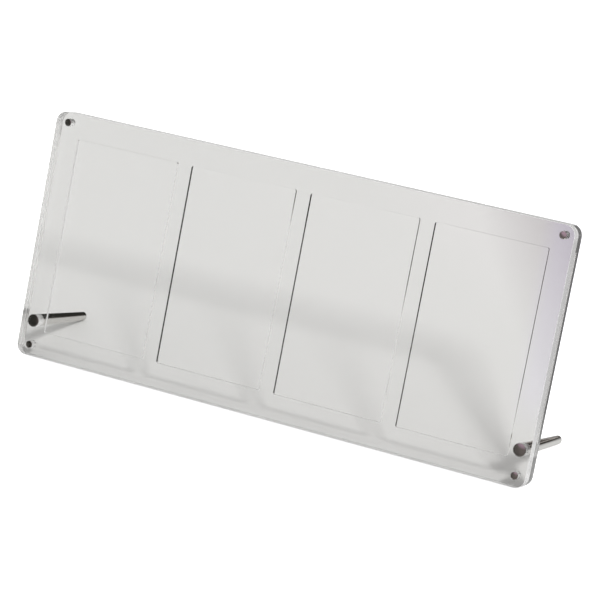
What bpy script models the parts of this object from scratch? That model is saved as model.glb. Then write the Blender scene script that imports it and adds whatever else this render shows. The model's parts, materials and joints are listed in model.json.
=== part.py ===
"""Photo stand: a clear acrylic block with four picture windows, leaning on two metal legs.

The block is two flat plates held face to face by four pairs of small magnets.
The back plate has a shallow pocket for each picture.
Each leg is a turned peg that pushes in from behind, through the back plate and into a blind
recess in the front plate, so the pegs also line the two plates up.
Every piece is modelled in the block's own upright frame (X right, Y from front to back,
Z up from the bottom edge), and one empty then leans the whole block back until its bottom
edge and the tips of both legs stand on the floor.
"""
import math

import bmesh
import bpy
from mathutils import Vector

# Block, in metres
BLOCK_WIDTH = 0.2635
BLOCK_HEIGHT = 0.118
BLOCK_DEPTH = 0.010
SEAM = 0.0003
PLATE_THICKNESS = (BLOCK_DEPTH - SEAM) / 2
CORNER_RADIUS = 0.005
CORNER_SEGMENTS = 8
EDGE_CHAMFER = 0.0004

# Picture windows: shallow pockets cut in the back plate's front face
WINDOW_COUNT = 4
WINDOW_WIDTH = 0.0545
WINDOW_HEIGHT = 0.094
WINDOW_PITCH = 0.062
WINDOW_DEPTH = 0.0015
WINDOW_CORNER_RADIUS = 0.0008
WINDOW_CORNER_SEGMENTS = 3

# Magnets: one in each plate at each corner, meeting at the seam
MAGNET_DIAMETER = 0.0034
MAGNET_LENGTH = 0.0028
MAGNET_SIDE_INSET = 0.00575
MAGNET_END_INSET = 0.005
MAGNET_CHAMFER = 0.00015
MAGNET_END_GAP = 0.0001

# Legs: a parallel shank inside the block and a taper behind it
SHANK_DIAMETER = 0.006
TIP_DIAMETER = 0.0043
LEG_REACH = 0.042
LEG_INSET = 0.00575
LEG_HEIGHT = 0.0167
LEG_CHAMFER = 0.0004
RECESS_DEPTH = 0.003
SHANK_END_GAP = 0.0003

# Round holes are this much larger in radius than what they hold
HOLE_CLEARANCE = 0.0001
# Cutters pass this far beyond the face they cut
CUT_MARGIN = 0.001
MAGNET_STEPS = 24
LEG_STEPS = 48
SMOOTH_ANGLE = math.radians(30)
MERGE_DISTANCE = 0.00001

FRONT_PLATE_Y = 0.0
BACK_PLATE_Y = PLATE_THICKNESS + SEAM
SIDES = {"left": -1, "right": 1}
CORNERS = {
    "top_left": (-1, 1),
    "top_right": (1, 1),
    "bottom_left": (-1, -1),
    "bottom_right": (1, -1),
}


def clear_scene():
    for obj in list(bpy.data.objects):
        bpy.data.objects.remove(obj, do_unlink=True)


def new_collection(name):
    collection = bpy.data.collections.new(name)
    bpy.context.scene.collection.children.link(collection)
    return collection


def principled(name, colour, roughness, metallic):
    material = bpy.data.materials.new(name)
    material.use_nodes = True
    shader = material.node_tree.nodes["Principled BSDF"]
    shader.inputs["Base Color"].default_value = (*colour, 1.0)
    shader.inputs["Roughness"].default_value = roughness
    shader.inputs["Metallic"].default_value = metallic
    material.diffuse_color = (*colour, 1.0)
    return material


def acrylic_material():
    material = principled("clear_acrylic", (0.86, 0.88, 0.88), 0.04, 0.0)
    shader = material.node_tree.nodes["Principled BSDF"]
    shader.inputs["Transmission Weight"].default_value = 0.95
    shader.inputs["IOR"].default_value = 1.49
    return material


def nickel_material():
    return principled("nickel_plated_magnet", (0.72, 0.71, 0.70), 0.18, 1.0)


def polished_steel_material():
    return principled("polished_steel", (0.66, 0.65, 0.63), 0.12, 1.0)


def tilt_empty(collection):
    empty = bpy.data.objects.new("block_lean", None)
    empty.rotation_euler.x = -lean_angle()
    collection.objects.link(empty)
    return empty


def add_object(name, mesh, collection, parent, location):
    obj = bpy.data.objects.new(name, mesh)
    obj.location = location
    obj.parent = parent
    collection.objects.link(obj)
    return obj


def make_cutter(obj):
    obj.hide_render = True
    obj.display_type = "WIRE"
    return obj


def rounded_slab(name, width, depth, height, radius, segments, chamfer):
    """A slab centred on the origin, thin along Y, with rounded corners and chamfered rims."""
    slab = bmesh.new()
    bmesh.ops.create_cube(slab, size=1.0)
    bmesh.ops.scale(slab, vec=(width, depth, height), verts=slab.verts)
    corner_edges = [edge for edge in slab.edges if runs_along_depth(edge)]
    bmesh.ops.bevel(
        slab, geom=corner_edges, offset=radius, segments=segments, profile=0.5, affect="EDGES"
    )
    if chamfer > 0:
        rims = [edge for edge in slab.edges if is_rim(edge, depth)]
        bmesh.ops.bevel(
            slab, geom=rims, offset=chamfer, segments=1, profile=0.5, affect="EDGES"
        )
    mesh = bpy.data.meshes.new(name)
    slab.to_mesh(mesh)
    slab.free()
    shade_round(mesh)
    return mesh


def runs_along_depth(edge):
    start, end = edge.verts
    return abs(start.co.y - end.co.y) > 0


def is_rim(edge, depth):
    """An edge of one of the slab's two large flat faces."""
    start, end = edge.verts
    on_face = abs(abs(start.co.y) - depth / 2) < MERGE_DISTANCE
    return on_face and abs(start.co.y - end.co.y) < MERGE_DISTANCE


def turned(name, profile, steps, collection, parent, location):
    """Turn a profile of (radius, distance) points about a line that runs from front to back.

    Distances count backwards from the location, and the profile starts at the far end.
    """
    mesh = bpy.data.meshes.new(name)
    points = [(radius, 0.0, distance) for radius, distance in profile]
    edges = [(index, index + 1) for index in range(len(points) - 1)]
    mesh.from_pydata(points, edges, [])
    obj = add_object(name, mesh, collection, parent, location)
    obj.rotation_euler.x = -math.pi / 2
    screw = obj.modifiers.new("turn", "SCREW")
    screw.axis = "Z"
    screw.angle = math.tau
    screw.steps = steps
    screw.render_steps = steps
    screw.use_merge_vertices = True
    screw.merge_threshold = MERGE_DISTANCE
    return obj


def rod_profile(radius, length, chamfer):
    """A plain rod with a small chamfer at both ends."""
    return [
        (0.0, length),
        (radius - chamfer, length),
        (radius, length - chamfer),
        (radius, chamfer),
        (radius - chamfer, 0.0),
        (0.0, 0.0),
    ]


def drill_profile(radius, length):
    return [(0.0, length), (radius, length), (radius, 0.0), (0.0, 0.0)]


def leg_profile():
    """A parallel shank, then a long taper, with both ends chamfered."""
    shank_radius = SHANK_DIAMETER / 2
    tip_radius = TIP_DIAMETER / 2
    shank_length = BLOCK_DEPTH - leg_front()
    length = shank_length + LEG_REACH
    return [
        (0.0, length),
        (tip_radius - LEG_CHAMFER, length),
        (tip_radius, length - LEG_CHAMFER),
        (shank_radius, shank_length),
        (shank_radius, LEG_CHAMFER),
        (shank_radius - LEG_CHAMFER, 0.0),
        (0.0, 0.0),
    ]


def leg_front():
    """How far behind the block's front face a leg's front end lies."""
    return PLATE_THICKNESS - RECESS_DEPTH + SHANK_END_GAP


def lean_angle():
    """The lean at which the block's back bottom edge and the leg tips touch one floor."""
    rise = LEG_HEIGHT - TIP_DIAMETER / 2
    run = LEG_REACH - LEG_CHAMFER + EDGE_CHAMFER
    return math.atan2(rise, run)


def leg_place(side, distance):
    return Vector((side * (BLOCK_WIDTH / 2 - LEG_INSET), distance, LEG_HEIGHT))


def magnet_place(corner, distance):
    side, end = corner
    height = BLOCK_HEIGHT / 2 + end * (BLOCK_HEIGHT / 2 - MAGNET_END_INSET)
    return Vector((side * (BLOCK_WIDTH / 2 - MAGNET_SIDE_INSET), distance, height))


def window_centres():
    first = -WINDOW_PITCH * (WINDOW_COUNT - 1) / 2
    return [first + index * WINDOW_PITCH for index in range(WINDOW_COUNT)]


def cut(piece, cutter):
    boolean = piece.modifiers.new(cutter.name, "BOOLEAN")
    boolean.operation = "DIFFERENCE"
    boolean.solver = "EXACT"
    boolean.object = cutter


def plate(name, front_y, collection, parent, material):
    mesh = rounded_slab(
        name,
        BLOCK_WIDTH,
        PLATE_THICKNESS,
        BLOCK_HEIGHT,
        CORNER_RADIUS,
        CORNER_SEGMENTS,
        EDGE_CHAMFER,
    )
    mesh.materials.append(material)
    centre = (0.0, front_y + PLATE_THICKNESS / 2, BLOCK_HEIGHT / 2)
    return add_object(name, mesh, collection, parent, centre)


def cut_windows(back_plate, cutters, parent):
    for index, centre_x in enumerate(window_centres()):
        name = f"window_cut_{index + 1}"
        depth = WINDOW_DEPTH + CUT_MARGIN
        mesh = rounded_slab(
            name,
            WINDOW_WIDTH,
            depth,
            WINDOW_HEIGHT,
            WINDOW_CORNER_RADIUS,
            WINDOW_CORNER_SEGMENTS,
            0.0,
        )
        middle_y = BACK_PLATE_Y + WINDOW_DEPTH - depth / 2
        centre = (centre_x, middle_y, BLOCK_HEIGHT / 2)
        cutter = make_cutter(add_object(name, mesh, cutters, parent, centre))
        cut(back_plate, cutter)


def cut_magnet_holes(piece, opens_forward, cutters, parent):
    """Blind holes in the plate's seam face, which looks forward on the back plate."""
    radius = MAGNET_DIAMETER / 2 + HOLE_CLEARANCE
    depth = MAGNET_LENGTH + MAGNET_END_GAP
    start = BACK_PLATE_Y - CUT_MARGIN if opens_forward else PLATE_THICKNESS - depth
    for corner_name, corner in CORNERS.items():
        name = f"{piece.name}_magnet_cut_{corner_name}"
        profile = drill_profile(radius, depth + CUT_MARGIN)
        place = magnet_place(corner, start)
        drill = turned(name, profile, MAGNET_STEPS, cutters, parent, place)
        cut(piece, make_cutter(drill))


def cut_leg_holes(piece, start, length, cutters, parent):
    radius = SHANK_DIAMETER / 2 + HOLE_CLEARANCE
    for side_name, side in SIDES.items():
        name = f"{piece.name}_leg_cut_{side_name}"
        profile = drill_profile(radius, length)
        place = leg_place(side, start)
        drill = turned(name, profile, LEG_STEPS, cutters, parent, place)
        cut(piece, make_cutter(drill))


def build_front_plate(pieces, cutters, parent, material):
    piece = plate("front_plate", FRONT_PLATE_Y, pieces, parent, material)
    cut_magnet_holes(piece, False, cutters, parent)
    recess_start = PLATE_THICKNESS - RECESS_DEPTH
    cut_leg_holes(piece, recess_start, RECESS_DEPTH + CUT_MARGIN, cutters, parent)
    return piece


def build_back_plate(pieces, cutters, parent, material):
    piece = plate("back_plate", BACK_PLATE_Y, pieces, parent, material)
    cut_windows(piece, cutters, parent)
    cut_magnet_holes(piece, True, cutters, parent)
    hole_start = BACK_PLATE_Y - CUT_MARGIN
    cut_leg_holes(piece, hole_start, PLATE_THICKNESS + 2 * CUT_MARGIN, cutters, parent)
    return piece


def build_magnets(pieces, parent, material):
    starts = {"front": PLATE_THICKNESS - MAGNET_LENGTH, "back": BACK_PLATE_Y}
    profile = rod_profile(MAGNET_DIAMETER / 2, MAGNET_LENGTH, MAGNET_CHAMFER)
    magnets = []
    for plate_name, start in starts.items():
        for corner_name, corner in CORNERS.items():
            name = f"{plate_name}_magnet_{corner_name}"
            place = magnet_place(corner, start)
            magnet = turned(name, profile, MAGNET_STEPS, pieces, parent, place)
            finish_turned(magnet, material)
            magnets.append(magnet)
    return magnets


def build_legs(pieces, parent, material):
    legs = []
    for side_name, side in SIDES.items():
        place = leg_place(side, leg_front())
        leg = turned(f"{side_name}_leg", leg_profile(), LEG_STEPS, pieces, parent, place)
        finish_turned(leg, material)
        legs.append(leg)
    return legs


def shade_round(mesh):
    """Smooth round sides, with crisp edges where faces meet at more than the smooth angle."""
    mesh.shade_smooth()
    mesh.set_sharp_from_angle(angle=SMOOTH_ANGLE)


def finish_turned(obj, material):
    """Apply the turning, so that the round side can be shaded smooth between crisp edges."""
    depsgraph = bpy.context.evaluated_depsgraph_get()
    obj.data = bpy.data.meshes.new_from_object(obj.evaluated_get(depsgraph))
    obj.modifiers.clear()
    shade_round(obj.data)
    obj.data.materials.append(material)


def stand_on_floor(parent, built):
    """Move the block so that its box stands on the floor, centred on the origin."""
    bpy.context.view_layer.update()
    depsgraph = bpy.context.evaluated_depsgraph_get()
    points = []
    for obj in built:
        evaluated = obj.evaluated_get(depsgraph)
        mesh = evaluated.to_mesh()
        points.extend(evaluated.matrix_world @ vertex.co for vertex in mesh.vertices)
        evaluated.to_mesh_clear()
    low = Vector(min(point[axis] for point in points) for axis in range(3))
    high = Vector(max(point[axis] for point in points) for axis in range(3))
    parent.location = Vector((0.0, -(low.y + high.y) / 2, -low.z))


def build():
    clear_scene()
    pieces = new_collection("photo_stand")
    cutters = new_collection("cutters")
    parent = tilt_empty(pieces)
    acrylic = acrylic_material()
    front_plate = build_front_plate(pieces, cutters, parent, acrylic)
    back_plate = build_back_plate(pieces, cutters, parent, acrylic)
    magnets = build_magnets(pieces, parent, nickel_material())
    legs = build_legs(pieces, parent, polished_steel_material())
    stand_on_floor(parent, [front_plate, back_plate, *magnets, *legs])


build()
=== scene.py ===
import json
import math

import bmesh
import bpy
from mathutils import Matrix, Vector


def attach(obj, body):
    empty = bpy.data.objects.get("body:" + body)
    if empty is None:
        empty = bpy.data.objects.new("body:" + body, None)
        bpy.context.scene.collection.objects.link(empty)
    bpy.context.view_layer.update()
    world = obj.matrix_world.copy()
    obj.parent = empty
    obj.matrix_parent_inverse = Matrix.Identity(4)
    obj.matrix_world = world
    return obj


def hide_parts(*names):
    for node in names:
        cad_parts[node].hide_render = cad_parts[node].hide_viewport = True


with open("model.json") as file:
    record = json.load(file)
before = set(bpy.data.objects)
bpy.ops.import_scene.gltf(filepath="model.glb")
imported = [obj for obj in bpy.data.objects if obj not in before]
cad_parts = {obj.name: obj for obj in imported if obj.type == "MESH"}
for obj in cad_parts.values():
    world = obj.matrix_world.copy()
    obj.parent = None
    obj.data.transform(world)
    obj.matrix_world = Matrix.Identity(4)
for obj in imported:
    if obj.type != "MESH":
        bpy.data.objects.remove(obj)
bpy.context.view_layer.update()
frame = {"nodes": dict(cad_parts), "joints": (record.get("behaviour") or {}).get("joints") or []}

# Sheet details, in metres, that the CAD leaves plain
SEAM_GAP = 0.0001
CORNER_RADIUS = 0.005
CORNER_STEPS = 14
RIM_RADIUS = 0.00012
RIM_STEPS = 2
ROUND_PROFILE = 0.5
FACE_WEIGHT = 100
HOLE_STEPS = 72
HOLE_GAP = 0.0001
MOUTH_CHAMFER = 0.00012
CUT_MARGIN = 0.001

# Picture pockets in the back sheet
WINDOW_COUNT = 4
WINDOW_WIDTH = 0.0545
WINDOW_HEIGHT = 0.094
WINDOW_PITCH = 0.062
WINDOW_DEPTH = 0.0015
WINDOW_CORNER_RADIUS = 0.0008
WINDOW_CORNER_STEPS = 6

# Metal pieces
ARC_STEPS = 6
TURNED_STEPS = 96
MAGNET_EDGE = 0.0001
LEG_EDGE = 0.00018
TIP_DIAMETER = 0.0043
MERGE_DISTANCE = 0.000001
SMOOTH_ANGLE = math.radians(32)
RIM_ANGLE = math.radians(80)

# Faces are told apart by one part of their unit normal: these are the limits
FLAT_END = 0.9
SHEET_FACE = 0.99
SIDE_WALL = 0.5
RIGHT_SIDE = 0.3
LEFT_SIDE = -0.95

CORNERS = ("top_left", "top_right", "bottom_left", "bottom_right")
SIDES = ("left", "right")


# ---------------------------------------------------------------- the block's own frame

def joint_axis(name):
    joint = next(joint for joint in frame["joints"] if joint["name"] == name)
    return Vector(joint["axis"]).normalized()


X_AXIS = Vector((1.0, 0.0, 0.0))
BACK = -joint_axis("cover_slide")
UP = X_AXIS.cross(BACK)


def span(node, direction):
    """How far a CAD node reaches along a direction: its lowest and highest value."""
    reach = [vertex.co.dot(direction) for vertex in frame["nodes"][node].data.vertices]
    return min(reach), max(reach)


FRONT_AT = span("front_plate", BACK)[0]
BOTTOM_AT = span("front_plate", UP)[0]
ORIGIN = BACK * FRONT_AT + UP * BOTTOM_AT
BLOCK = Matrix.Translation(ORIGIN) @ Matrix((X_AXIS, BACK, UP)).transposed().to_4x4()


def block_span(node):
    """A node's lowest and highest corner in the block's frame: right, back and up."""
    spans = [span(node, X_AXIS), span(node, BACK), span(node, UP)]
    low = Vector((spans[0][0], spans[1][0] - FRONT_AT, spans[2][0] - BOTTOM_AT))
    high = Vector((spans[0][1], spans[1][1] - FRONT_AT, spans[2][1] - BOTTOM_AT))
    return low, high


# ---------------------------------------------------------------- node helpers

def new_material(name):
    material = bpy.data.materials.new(name)
    material.use_nodes = True
    return material, material.node_tree


def add_node(tree, kind, **inputs):
    node = tree.nodes.new(kind)
    for key, value in inputs.items():
        node.inputs[key.replace("_", " ")].default_value = value
    return node


def noise(tree, size, detail=2.0, roughness=0.5):
    """Noise whose grains have the given size along the block's right, back and up."""
    source = tree.nodes.new("ShaderNodeTexCoord")
    mapping = tree.nodes.new("ShaderNodeMapping")
    mapping.vector_type = "TEXTURE"
    mapping.inputs["Rotation"].default_value = BLOCK.to_euler()
    mapping.inputs["Scale"].default_value = size
    tree.links.new(source.outputs["Object"], mapping.inputs["Vector"])
    node = add_node(tree, "ShaderNodeTexNoise", Scale=1.0, Detail=detail, Roughness=roughness)
    tree.links.new(mapping.outputs["Vector"], node.inputs["Vector"])
    return node.outputs["Fac"]


def map_range(tree, value, low, high, to_low, to_high):
    node = tree.nodes.new("ShaderNodeMapRange")
    node.inputs["From Min"].default_value = low
    node.inputs["From Max"].default_value = high
    node.inputs["To Min"].default_value = to_low
    node.inputs["To Max"].default_value = to_high
    tree.links.new(value, node.inputs["Value"])
    return node.outputs["Result"]


def fade_in(tree, value, limits):
    """0 below the first limit, 1 above the second and even between them."""
    return map_range(tree, value, *limits, 0.0, 1.0)


def fade_out(tree, value, limits):
    """1 below the first limit, 0 above the second and even between them."""
    return map_range(tree, value, *limits, 1.0, 0.0)


def math_node(tree, operation, first, second):
    node = tree.nodes.new("ShaderNodeMath")
    node.operation = operation
    tree.links.new(first, node.inputs[0])
    tree.links.new(second, node.inputs[1])
    return node.outputs["Value"]


def multiply(tree, first, second):
    return math_node(tree, "MULTIPLY", first, second)


def maximum(tree, first, second):
    return math_node(tree, "MAXIMUM", first, second)


def bump(tree, height, distance):
    node = add_node(tree, "ShaderNodeBump", Strength=1.0, Distance=distance)
    tree.links.new(height, node.inputs["Height"])
    return node.outputs["Normal"]


def vector_math(tree, operation, vector, other):
    """A number from a linked vector and a fixed one."""
    node = tree.nodes.new("ShaderNodeVectorMath")
    node.operation = operation
    node.inputs[1].default_value = other
    tree.links.new(vector, node.inputs[0])
    return node.outputs["Value"]


def dot_product(tree, vector, other):
    return vector_math(tree, "DOT_PRODUCT", vector, other)


def mix_colours(tree, factor, first, second):
    """The first colour at factor 0 and the second at 1; each is fixed or linked."""
    node = tree.nodes.new("ShaderNodeMix")
    node.data_type = "RGBA"
    for value, name in ((factor, "Factor"), (first, "A"), (second, "B")):
        socket = next(item for item in node.inputs if item.enabled and item.name == name)
        if isinstance(value, tuple):
            socket.default_value = value
        else:
            tree.links.new(value, socket)
    return next(item for item in node.outputs if item.enabled)


# ---------------------------------------------------------------- materials

# A noise has grains of a size in metres; between the limits it moves the roughness
ACRYLIC_IOR = 1.49
ACRYLIC_HUE = (1.0, 0.998, 0.99)
SMUDGE_SIZE = (0.02, 0.02, 0.02)
SMUDGE_LIMITS = (0.4, 0.75)
WEAR_SIZE = (0.0014, 0.0014, 0.0014)
WEAR_LIMITS = (0.3, 0.7)


def acrylic(name, tint, clear, passes, smooth, dusty, grain, depth):
    """Acrylic: tint is its colour, and clear is the share that isn't frosted.

    passes is how much of the light that falls on the floor one such face lets through.
    smooth and dusty are its least and greatest roughness.
    grain and depth are the size and height of its waves or tool marks.
    """
    material, tree = new_material(name)
    shader = tree.nodes["Principled BSDF"]
    shader.inputs["Base Color"].default_value = (*(tint * part for part in ACRYLIC_HUE), 1.0)
    shader.inputs["IOR"].default_value = ACRYLIC_IOR
    shader.inputs["Transmission Weight"].default_value = clear
    smudge = noise(tree, SMUDGE_SIZE, detail=5.0, roughness=0.6)
    rough = map_range(tree, smudge, *SMUDGE_LIMITS, smooth, dusty)
    tree.links.new(rough, shader.inputs["Roughness"])
    waves = noise(tree, grain, detail=3.0)
    tree.links.new(bump(tree, waves, depth), shader.inputs["Normal"])
    path = tree.nodes.new("ShaderNodeLightPath")
    lit = maximum(tree, path.outputs["Is Shadow Ray"], path.outputs["Is Diffuse Ray"])
    thin = tree.nodes.new("ShaderNodeBsdfTransparent")
    thin.inputs["Color"].default_value = (passes, passes, passes, 1.0)
    mix = tree.nodes.new("ShaderNodeMixShader")
    tree.links.new(lit, mix.inputs["Fac"])
    tree.links.new(shader.outputs["BSDF"], mix.inputs[1])
    tree.links.new(thin.outputs["BSDF"], mix.inputs[2])
    output = tree.nodes["Material Output"]
    tree.links.new(mix.outputs["Shader"], output.inputs["Surface"])
    return material


def metal(name, colour, smooth, worn, grain, depth):
    """Bright metal: smooth and worn are its least and greatest roughness."""
    material, tree = new_material(name)
    shader = tree.nodes["Principled BSDF"]
    shader.inputs["Base Color"].default_value = (*colour, 1.0)
    shader.inputs["Metallic"].default_value = 1.0
    wear = noise(tree, WEAR_SIZE, detail=4.0)
    rough = map_range(tree, wear, *WEAR_LIMITS, smooth, worn)
    tree.links.new(rough, shader.inputs["Roughness"])
    tree.links.new(bump(tree, noise(tree, grain), depth), shader.inputs["Normal"])
    return material


# Size of the waves and marks along the block's right, back and up, in metres
SHEET_GRAIN = (0.09, 0.09, 0.09)
POCKET_GRAIN = (0.02, 0.02, 0.02)
MILLED_GRAIN = (0.001, 0.0002, 0.001)
EDGE_GRAIN = (0.001, 0.02, 0.001)
DRILLED_GRAIN = (0.004, 0.0003, 0.004)
TURNED_GRAIN = (0.004, 0.0002, 0.004)
PLATED_GRAIN = (0.0004, 0.0004, 0.0004)

# Name, tint, clear, passes, smooth, dusty, grain and depth
FACE = acrylic("acrylic_cast_face", 0.985, 1.0, 0.985, 0.0, 0.02, SHEET_GRAIN, 0.00001)
FRONT_SEAM = acrylic("acrylic_front_seam", 0.97, 1.0, 0.985, 0.0, 0.02, SHEET_GRAIN, 0.00001)
BACK_SEAM = acrylic("acrylic_back_seam", 0.97, 1.0, 0.89, 0.0, 0.02, SHEET_GRAIN, 0.00001)
POCKET_FLOOR = acrylic(
    "acrylic_pocket_floor", 0.99, 1.0, 0.985, 0.0, 0.03, POCKET_GRAIN, 0.000004
)
POCKET_WALL = acrylic("acrylic_pocket_wall", 0.96, 1.0, 0.05, 0.01, 0.06, MILLED_GRAIN, 0.000002)
SATIN_WALL = acrylic("acrylic_satin_wall", 0.97, 0.35, 0.05, 0.35, 0.5, MILLED_GRAIN, 0.000002)
SAWN = acrylic("acrylic_sawn_edge", 0.97, 0.2, 0.1, 0.3, 0.4, EDGE_GRAIN, 0.000002)
MATT = acrylic("acrylic_matt_edge", 0.96, 0.32, 0.1, 0.25, 0.35, EDGE_GRAIN, 0.000002)
SCRAPED = acrylic("acrylic_scraped_edge", 0.96, 0.8, 0.1, 0.01, 0.05, EDGE_GRAIN, 0.000002)
POLISHED = acrylic("acrylic_polished_edge", 0.98, 0.6, 0.1, 0.2, 0.3, SHEET_GRAIN, 0.000001)
BORE = acrylic("acrylic_drilled_wall", 0.97, 0.5, 0.2, 0.1, 0.25, DRILLED_GRAIN, 0.000002)
STEEL = metal("polished_steel", (0.68, 0.67, 0.65), 0.04, 0.09, TURNED_GRAIN, 0.000001)
NICKEL = metal("nickel_plate", (0.72, 0.70, 0.67), 0.05, 0.12, PLATED_GRAIN, 0.000001)


# ---------------------------------------------------------------- meshes

def finished(name, shape, materials):
    """Stand a bmesh, drawn in the block's frame, in the scene as an object."""
    bmesh.ops.recalc_face_normals(shape, faces=shape.faces)
    bmesh.ops.transform(shape, matrix=BLOCK, verts=shape.verts)
    mesh = bpy.data.meshes.new(name)
    shape.to_mesh(mesh)
    shape.free()
    obj = bpy.data.objects.new(name, mesh)
    bpy.context.scene.collection.objects.link(obj)
    for material in materials:
        mesh.materials.append(material)
    return obj


def round_edges(shape, edges, radius, steps):
    bmesh.ops.bevel(
        shape,
        geom=edges,
        offset=radius,
        segments=steps,
        profile=ROUND_PROFILE,
        affect="EDGES",
    )


def slab(width, height, front, back, radius, steps):
    """A slab from front to back, centred on the block's width and height, with round corners."""
    shape = bmesh.new()
    bmesh.ops.create_cube(shape, size=1.0)
    bmesh.ops.scale(shape, vec=(width, back - front, height), verts=shape.verts)
    corners = [edge for edge in shape.edges if edge.verts[0].co.y * edge.verts[1].co.y < 0]
    round_edges(shape, corners, radius, steps)
    bmesh.ops.translate(shape, vec=(0.0, (front + back) / 2, 0.0), verts=shape.verts)
    return shape


def soften_rims(shape, radius, steps):
    rims = [edge for edge in shape.edges if edge.calc_face_angle(0.0) > RIM_ANGLE]
    round_edges(shape, rims, radius, steps)


def turned(profile, steps):
    """Turn (radius, distance) points about a line from front to back through the origin."""
    shape = bmesh.new()
    points = [shape.verts.new((radius, distance, 0.0)) for radius, distance in profile]
    edges = [shape.edges.new(pair) for pair in zip(points, points[1:])]
    bmesh.ops.spin(
        shape,
        geom=points + edges,
        cent=(0.0, 0.0, 0.0),
        axis=(0.0, 1.0, 0.0),
        angle=math.tau,
        steps=steps,
        use_merge=True,
    )
    bmesh.ops.remove_doubles(shape, verts=shape.verts, dist=MERGE_DISTANCE)
    return shape


def rounded_corner(centre, radius, start, end):
    """Points on an arc about (radius, distance) centre; angles turn from outwards to back."""
    points = []
    for step in range(ARC_STEPS + 1):
        angle = math.radians(start + (end - start) * step / ARC_STEPS)
        across = centre[0] + radius * math.cos(angle)
        along = centre[1] + radius * math.sin(angle)
        points.append((across, along))
    return points


def rod_profile(radius, front, back, edge):
    return [
        (0.0, front),
        *rounded_corner((radius - edge, front + edge), edge, -90, 0),
        *rounded_corner((radius - edge, back - edge), edge, 0, 90),
        (0.0, back),
    ]


def leg_profile(front, shank_end, tip, shank_radius, tip_radius):
    return [
        (0.0, front),
        *rounded_corner((shank_radius - LEG_EDGE, front + LEG_EDGE), LEG_EDGE, -90, 0),
        (shank_radius, shank_end),
        *rounded_corner((tip_radius - LEG_EDGE, tip - LEG_EDGE), LEG_EDGE, 0, 90),
        (0.0, tip),
    ]


def bore_profile(radius, start, mouth):
    """A cutter for a hole whose mouth, at the distance given, has a small chamfer."""
    toward = 1 if mouth > start else -1
    return [
        (0.0, start),
        (radius, start),
        (radius, mouth - toward * MOUTH_CHAMFER),
        (radius + MOUTH_CHAMFER + CUT_MARGIN, mouth + toward * CUT_MARGIN),
        (0.0, mouth + toward * CUT_MARGIN),
    ]


def place(shape, across, up):
    bmesh.ops.translate(shape, vec=(across, 0.0, up), verts=shape.verts)
    return shape


def carve(obj, cutters):
    """Cut each cutter out of the object, apply the cuts and remove the cutters."""
    for cutter in cutters:
        boolean = obj.modifiers.new(cutter.name, "BOOLEAN")
        boolean.operation = "DIFFERENCE"
        boolean.solver = "EXACT"
        boolean.material_mode = "TRANSFER"
        boolean.object = cutter
    bpy.context.view_layer.update()
    depsgraph = bpy.context.evaluated_depsgraph_get()
    mesh = bpy.data.meshes.new_from_object(obj.evaluated_get(depsgraph))
    obj.modifiers.clear()
    obj.data = mesh
    for cutter in cutters:
        bpy.data.objects.remove(cutter, do_unlink=True)


def node_centre(node):
    low, high = block_span(node)
    return (low + high) / 2


def bore_cutter(name, node, start, mouth):
    """A drill about a CAD piece's own axis, from its blind or far end to its mouth."""
    low, high = block_span(node)
    radius = (high.x - low.x) / 2 + HOLE_GAP
    centre = (low + high) / 2
    shape = turned(bore_profile(radius, start, mouth), HOLE_STEPS)
    wall_slot, end_slot = 0, 1
    for face in shape.faces:
        face.normal_update()
        face.material_index = end_slot if abs(face.normal.y) > FLAT_END else wall_slot
    return finished(name, place(shape, centre.x, centre.z), [BORE, POCKET_FLOOR])


def slot_of(obj, material):
    if material.name not in obj.data.materials:
        obj.data.materials.append(material)
    return obj.data.materials.find(material.name)


def mark_faces(obj, seam, seam_material, right_material):
    """Give the rims and sides the edge materials and the seam face its own.

    The cutters' faces already have theirs: only faces in the sheet's first slot are looked at.
    """
    seam_slot = slot_of(obj, seam_material)
    right_slot = slot_of(obj, right_material)
    left_slot = slot_of(obj, POLISHED)
    end_slot = slot_of(obj, SAWN)
    low, high = block_span("front_plate")
    half_width = (high.x - low.x) / 2
    half_height = (high.z - low.z) / 2
    to_block = BLOCK.inverted()
    turn = to_block.to_3x3()
    for polygon in obj.data.polygons:
        if polygon.material_index == 0:
            centre = to_block @ polygon.center
            normal = turn @ polygon.normal
            near_side = abs(centre.x) > half_width - CORNER_RADIUS
            near_end = abs(centre.z - half_height) > half_height - CORNER_RADIUS
            if abs(normal.y) < SHEET_FACE and (near_side or near_end):
                if normal.x > RIGHT_SIDE:
                    polygon.material_index = right_slot
                else:
                    polygon.material_index = left_slot if normal.x < LEFT_SIDE else end_slot
            elif abs(centre.y - seam) < MERGE_DISTANCE:
                polygon.material_index = seam_slot


def flat_normals(obj):
    """Keep the large faces optically true, and let only the rims shade round."""
    obj.data.shade_smooth()
    obj.data.set_sharp_from_angle(angle=SMOOTH_ANGLE)
    weighted = obj.modifiers.new("flat_faces", "WEIGHTED_NORMAL")
    weighted.mode = "FACE_AREA"
    weighted.weight = FACE_WEIGHT
    weighted.keep_sharp = True


def sheet(name, front, back):
    low, high = block_span("front_plate")
    shape = slab(high.x - low.x, high.z - low.z, front, back, CORNER_RADIUS, CORNER_STEPS)
    soften_rims(shape, RIM_RADIUS, RIM_STEPS)
    return finished(name, place(shape, 0.0, (high.z - low.z) / 2), [FACE])


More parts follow.
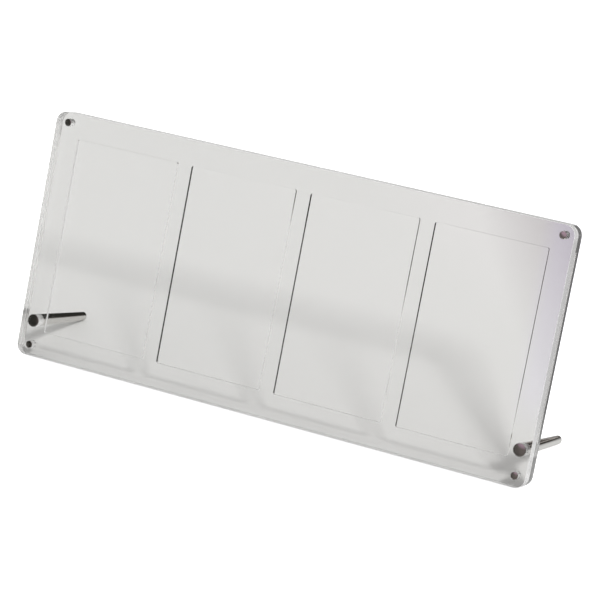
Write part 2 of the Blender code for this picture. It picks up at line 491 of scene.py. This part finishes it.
def window_cutter(index, seam):
    """A cutter for one picture pocket: in the first, only the right wall is clear."""
    shape = slab(
        WINDOW_WIDTH,
        WINDOW_HEIGHT,
        seam - CUT_MARGIN,
        seam + WINDOW_DEPTH,
        WINDOW_CORNER_RADIUS,
        WINDOW_CORNER_STEPS,
    )
    clear_slot, satin_slot = 1, 2
    wall_slot = clear_slot if index else satin_slot
    for face in shape.faces:
        face.normal_update()
        if abs(face.normal.y) < SIDE_WALL:
            face.material_index = wall_slot if face.normal.x < SIDE_WALL else clear_slot
    across = (index - (WINDOW_COUNT - 1) / 2) * WINDOW_PITCH
    up = node_centre("back_plate").z
    materials = [POCKET_FLOOR, POCKET_WALL, SATIN_WALL]
    return finished(f"window_cutter_{index}", place(shape, across, up), materials)


def seam_face(gap):
    """A sheet's face at the seam: half the gap behind the middle of the CAD's own seam."""
    return (block_span("front_plate")[1].y + block_span("back_plate")[0].y + gap) / 2


def build_front_sheet():
    seam = seam_face(-SEAM_GAP)
    obj = sheet("front_sheet", 0.0, seam)
    cutters = []
    for corner in CORNERS:
        node = f"front_magnet_{corner}"
        start = block_span(node)[0].y - HOLE_GAP
        cutters.append(bore_cutter(f"{node}_cutter", node, start, seam))
    for side in SIDES:
        node = f"{side}_leg"
        start = block_span(node)[0].y - HOLE_GAP
        cutters.append(bore_cutter(f"{node}_cutter", node, start, seam))
    carve(obj, cutters)
    mark_faces(obj, seam, FRONT_SEAM, MATT)
    flat_normals(obj)
    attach(obj, "front_cover")
    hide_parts("front_plate")


def build_back_sheet():
    seam = seam_face(SEAM_GAP)
    back = block_span("back_plate")[1].y
    obj = sheet("back_sheet", seam, back)
    cutters = [window_cutter(index, seam) for index in range(WINDOW_COUNT)]
    for corner in CORNERS:
        node = f"back_magnet_{corner}"
        start = block_span(node)[1].y + HOLE_GAP
        cutters.append(bore_cutter(f"{node}_cutter", node, start, seam))
    for side in SIDES:
        node = f"{side}_leg"
        cutters.append(bore_cutter(f"{node}_cutter", node, back + CUT_MARGIN, seam))
    carve(obj, cutters)
    mark_faces(obj, seam, BACK_SEAM, SCRAPED)
    flat_normals(obj)
    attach(obj, "back_block")
    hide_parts("back_plate")


def build_magnets():
    bodies = {"front": "front_cover", "back": "back_block"}
    for layer, body in bodies.items():
        for corner in CORNERS:
            node = f"{layer}_magnet_{corner}"
            low, high = block_span(node)
            centre = (low + high) / 2
            radius = (high.x - low.x) / 2
            shape = turned(rod_profile(radius, low.y, high.y, MAGNET_EDGE), TURNED_STEPS)
            obj = finished(f"{corner}_{layer}_disc", place(shape, centre.x, centre.z), [NICKEL])
            flat_normals(obj)
            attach(obj, body)
            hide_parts(node)


def build_legs():
    block_back = block_span("back_plate")[1].y
    for side in SIDES:
        node = f"{side}_leg"
        low, high = block_span(node)
        centre = (low + high) / 2
        radius = (high.x - low.x) / 2
        profile = leg_profile(low.y, block_back, high.y, radius, TIP_DIAMETER / 2)
        shape = place(turned(profile, TURNED_STEPS), centre.x, centre.z)
        obj = finished(f"{side}_peg", shape, [STEEL])
        flat_normals(obj)
        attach(obj, node)
        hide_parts(node)


# ---------------------------------------------------------------- studio

# Where the camera stands and looks, in the block's frame
CAMERA_PLACE = (0.47206, -1.03702, 0.20489)
CAMERA_FORWARD = (-0.40377, 0.90579, -0.12852)
CAMERA_RIGHT = (0.88753, 0.42190, 0.18518)
CAMERA_LENS = 151.34
CAMERA_SENSOR = 36.0
CAMERA_REACH = 100.0

# One soft lamp at the front right; its azimuth turns from the front toward the right
KEY_AZIMUTH = math.radians(48)
KEY_ELEVATION = math.radians(44.5)
KEY_SIZE = math.radians(12)
KEY_STRENGTH = 1.75

# The dome: its brightness, and the room that polished pieces mirror below the pale card.
# The card fades in between two heights, each the sine of an elevation.
# A patch is a direction, a radius and a softness, both in degrees.
DOME = 0.62
CARD_FADE = (0.45, 0.62)
WHITE = (1.0, 1.0, 1.0, 1.0)
ROOM_DARK = (0.03, 0.03, 0.027, 1.0)
ROOM_BROWN = (0.16, 0.14, 0.135, 1.0)
ROOM_PURPLE = (0.50, 0.36, 0.46, 1.0)
BROWN_PATCH = ((-0.22, -0.95, 0.20), 10, 4)
PURPLE_PATCH = ((-0.25, -0.89, 0.38), 10, 2)

# The floor seen through the block. Distances are in metres, and each pair is a fade.
# SHADE_WAY and TINT_WAY are the level directions in which the shade and the tint grow.
FLOOR_SIZE = 60.0
FLOOR_ROUGHNESS = 0.9
FLOOR_GLOW = 0.9
FLOOR_PALE = (0.86, 0.86, 0.855, 1.0)
FLOOR_SHADE = (0.43, 0.41, 0.425, 1.0)
SHADE_WAY = (0.86, 0.51, 0.0)
SHADE_START = (0.12, 0.19)
SHADE_END = (0.30, 0.42)
SHADE_FRONT = (-0.08, 0.0)
TINT_PALE = (0.865, 0.855, 0.90, 1.0)
TINT_SHADE = (0.43, 0.405, 0.48, 1.0)
TINT_WAY = (0.951, 0.309, 0.0)
TINT_START = (0.103, 0.113)
TINT_FRONT = (0.03, 0.07)

# The floor as polished pieces mirror it: dark far away, with a grey patch.
# LOW_SIGHT and GRAZING are fades over 1 minus the sine of the sight line's elevation.
FLOOR_DARK = (0.05, 0.045, 0.04, 1.0)
FLOOR_GREY = (0.56, 0.52, 0.50, 1.0)
GREY_PLACE = (0.085, 0.33, 0.0)
GREY_FADE = (0.105, 0.16)
LOW_SIGHT = (0.67, 0.80)
GRAZING = (0.82, 0.96)
STEEP_DARK_START = (0.138, 0.165)
LOW_DARK_START = (0.125, 0.165)


def build_camera():
    turn = BLOCK.to_3x3()
    forward = turn @ Vector(CAMERA_FORWARD)
    right = turn @ Vector(CAMERA_RIGHT)
    up = right.cross(forward)
    camera = bpy.data.objects.new("camera", bpy.data.cameras.new("camera"))
    camera.data.sensor_width = CAMERA_SENSOR
    camera.data.lens = CAMERA_LENS
    camera.data.clip_end = CAMERA_REACH
    rotation = Matrix((right, up, -forward)).transposed().to_4x4()
    camera.matrix_world = Matrix.Translation(BLOCK @ Vector(CAMERA_PLACE)) @ rotation
    bpy.context.scene.collection.objects.link(camera)
    bpy.context.scene.camera = camera


def polished_path(tree):
    """1 for rays that a polished face has mirrored and that no matt face has scattered."""
    path = tree.nodes.new("ShaderNodeLightPath")
    clean = fade_out(tree, path.outputs["Diffuse Depth"], (0.0, 1.0))
    mirrored = fade_in(tree, path.outputs["Glossy Depth"], (0.0, 1.0))
    return multiply(tree, clean, mirrored)


def seen_floor(tree, point, steep):
    """The floor seen straight or through the block: pale, shaded and tinted at the right."""
    along = dot_product(tree, point, SHADE_WAY)
    across = dot_product(tree, point, TINT_WAY)
    back = dot_product(tree, point, (0.0, 1.0, 0.0))
    past = fade_in(tree, along, SHADE_START)
    within = fade_out(tree, along, SHADE_END)
    behind = fade_in(tree, back, SHADE_FRONT)
    shade = multiply(tree, multiply(tree, past, within), multiply(tree, behind, steep))
    plain = mix_colours(tree, shade, FLOOR_PALE, FLOOR_SHADE)
    tinted = mix_colours(tree, shade, TINT_PALE, TINT_SHADE)
    aside = fade_in(tree, across, TINT_START)
    tint = multiply(tree, aside, fade_in(tree, back, TINT_FRONT))
    tint = multiply(tree, tint, multiply(tree, within, steep))
    return mix_colours(tree, tint, plain, tinted)


def mirrored_floor(tree, point, facing, steep, low):
    """The floor as polished pieces mirror it: dark far away and at grazing sight lines."""
    across = dot_product(tree, point, TINT_WAY)
    along = dot_product(tree, point, SHADE_WAY)
    steep_far = multiply(tree, steep, fade_in(tree, across, STEEP_DARK_START))
    low_far = multiply(tree, low, fade_in(tree, along, LOW_DARK_START))
    grazing = fade_in(tree, facing, GRAZING)
    dark = maximum(tree, maximum(tree, steep_far, low_far), grazing)
    colour = mix_colours(tree, dark, FLOOR_PALE, FLOOR_DARK)
    distance = vector_math(tree, "DISTANCE", point, GREY_PLACE)
    grey = fade_out(tree, distance, GREY_FADE)
    return mix_colours(tree, multiply(tree, grey, low), colour, FLOOR_GREY)


def build_floor():
    """A wide paper floor, lifted to white where the camera sees it with nothing between."""
    bpy.ops.mesh.primitive_plane_add(size=FLOOR_SIZE, location=(0.0, 0.0, 0.0))
    floor = bpy.context.object
    floor.name = "floor"
    material, tree = new_material("pale_floor")
    shader = tree.nodes["Principled BSDF"]
    shader.inputs["Roughness"].default_value = FLOOR_ROUGHNESS
    shader.inputs["Specular IOR Level"].default_value = 0.0
    shader.inputs["Emission Color"].default_value = WHITE
    point = tree.nodes.new("ShaderNodeTexCoord").outputs["Object"]
    facing = tree.nodes.new("ShaderNodeLayerWeight").outputs["Facing"]
    steep = fade_out(tree, facing, LOW_SIGHT)
    low = fade_in(tree, facing, LOW_SIGHT)
    seen = seen_floor(tree, point, steep)
    mirrored = mirrored_floor(tree, point, facing, steep, low)
    colour = mix_colours(tree, polished_path(tree), seen, mirrored)
    tree.links.new(colour, shader.inputs["Base Color"])
    eye = tree.nodes.new("ShaderNodeLightPath").outputs["Is Camera Ray"]
    glow = map_range(tree, eye, 0.0, 1.0, 0.0, FLOOR_GLOW)
    tree.links.new(glow, shader.inputs["Emission Strength"])
    floor.data.materials.append(material)


def build_key():
    """The lamp only casts light: nothing mirrors it or shows it through the acrylic."""
    light = bpy.data.lights.new("key", "SUN")
    light.energy = KEY_STRENGTH
    light.angle = KEY_SIZE
    key = bpy.data.objects.new("key", light)
    toward = Vector(
        (
            math.sin(KEY_AZIMUTH) * math.cos(KEY_ELEVATION),
            -math.cos(KEY_AZIMUTH) * math.cos(KEY_ELEVATION),
            math.sin(KEY_ELEVATION),
        )
    )
    key.rotation_mode = "QUATERNION"
    key.rotation_quaternion = toward.to_track_quat("Z", "Y")
    key.visible_glossy = False
    key.visible_transmission = False
    bpy.context.scene.collection.objects.link(key)


def round_patch(tree, direction, patch):
    """1 inside a round patch of the dome and 0 outside it."""
    centre, radius, softness = patch
    dot = dot_product(tree, direction, Vector(centre).normalized())
    outer = math.cos(math.radians(radius + softness))
    inner = math.cos(math.radians(radius - softness))
    return fade_in(tree, dot, (outer, inner))


def build_dome():
    """Pale on every side for light and for the eye; polished pieces mirror a dim room."""
    world = bpy.data.worlds.new("studio")
    bpy.context.scene.world = world
    world.use_nodes = True
    tree = world.node_tree
    background = tree.nodes["Background"]
    direction = tree.nodes.new("ShaderNodeTexCoord").outputs["Generated"]
    split = tree.nodes.new("ShaderNodeSeparateXYZ")
    tree.links.new(direction, split.inputs["Vector"])
    overhead = fade_in(tree, split.outputs["Z"], CARD_FADE)
    pale = (DOME, DOME, DOME, 1.0)
    room = mix_colours(tree, round_patch(tree, direction, BROWN_PATCH), ROOM_DARK, ROOM_BROWN)
    room = mix_colours(tree, round_patch(tree, direction, PURPLE_PATCH), room, ROOM_PURPLE)
    mirrored = mix_colours(tree, overhead, room, pale)
    result = mix_colours(tree, polished_path(tree), pale, mirrored)
    eye = tree.nodes.new("ShaderNodeLightPath").outputs["Is Camera Ray"]
    result = mix_colours(tree, eye, result, WHITE)
    tree.links.new(result, background.inputs["Color"])


# ---------------------------------------------------------------- build

build_camera()
build_floor()
build_key()
build_dome()
build_front_sheet()
build_back_sheet()
build_magnets()
build_legs()
bpy.context.scene.view_settings.view_transform = "Standard"
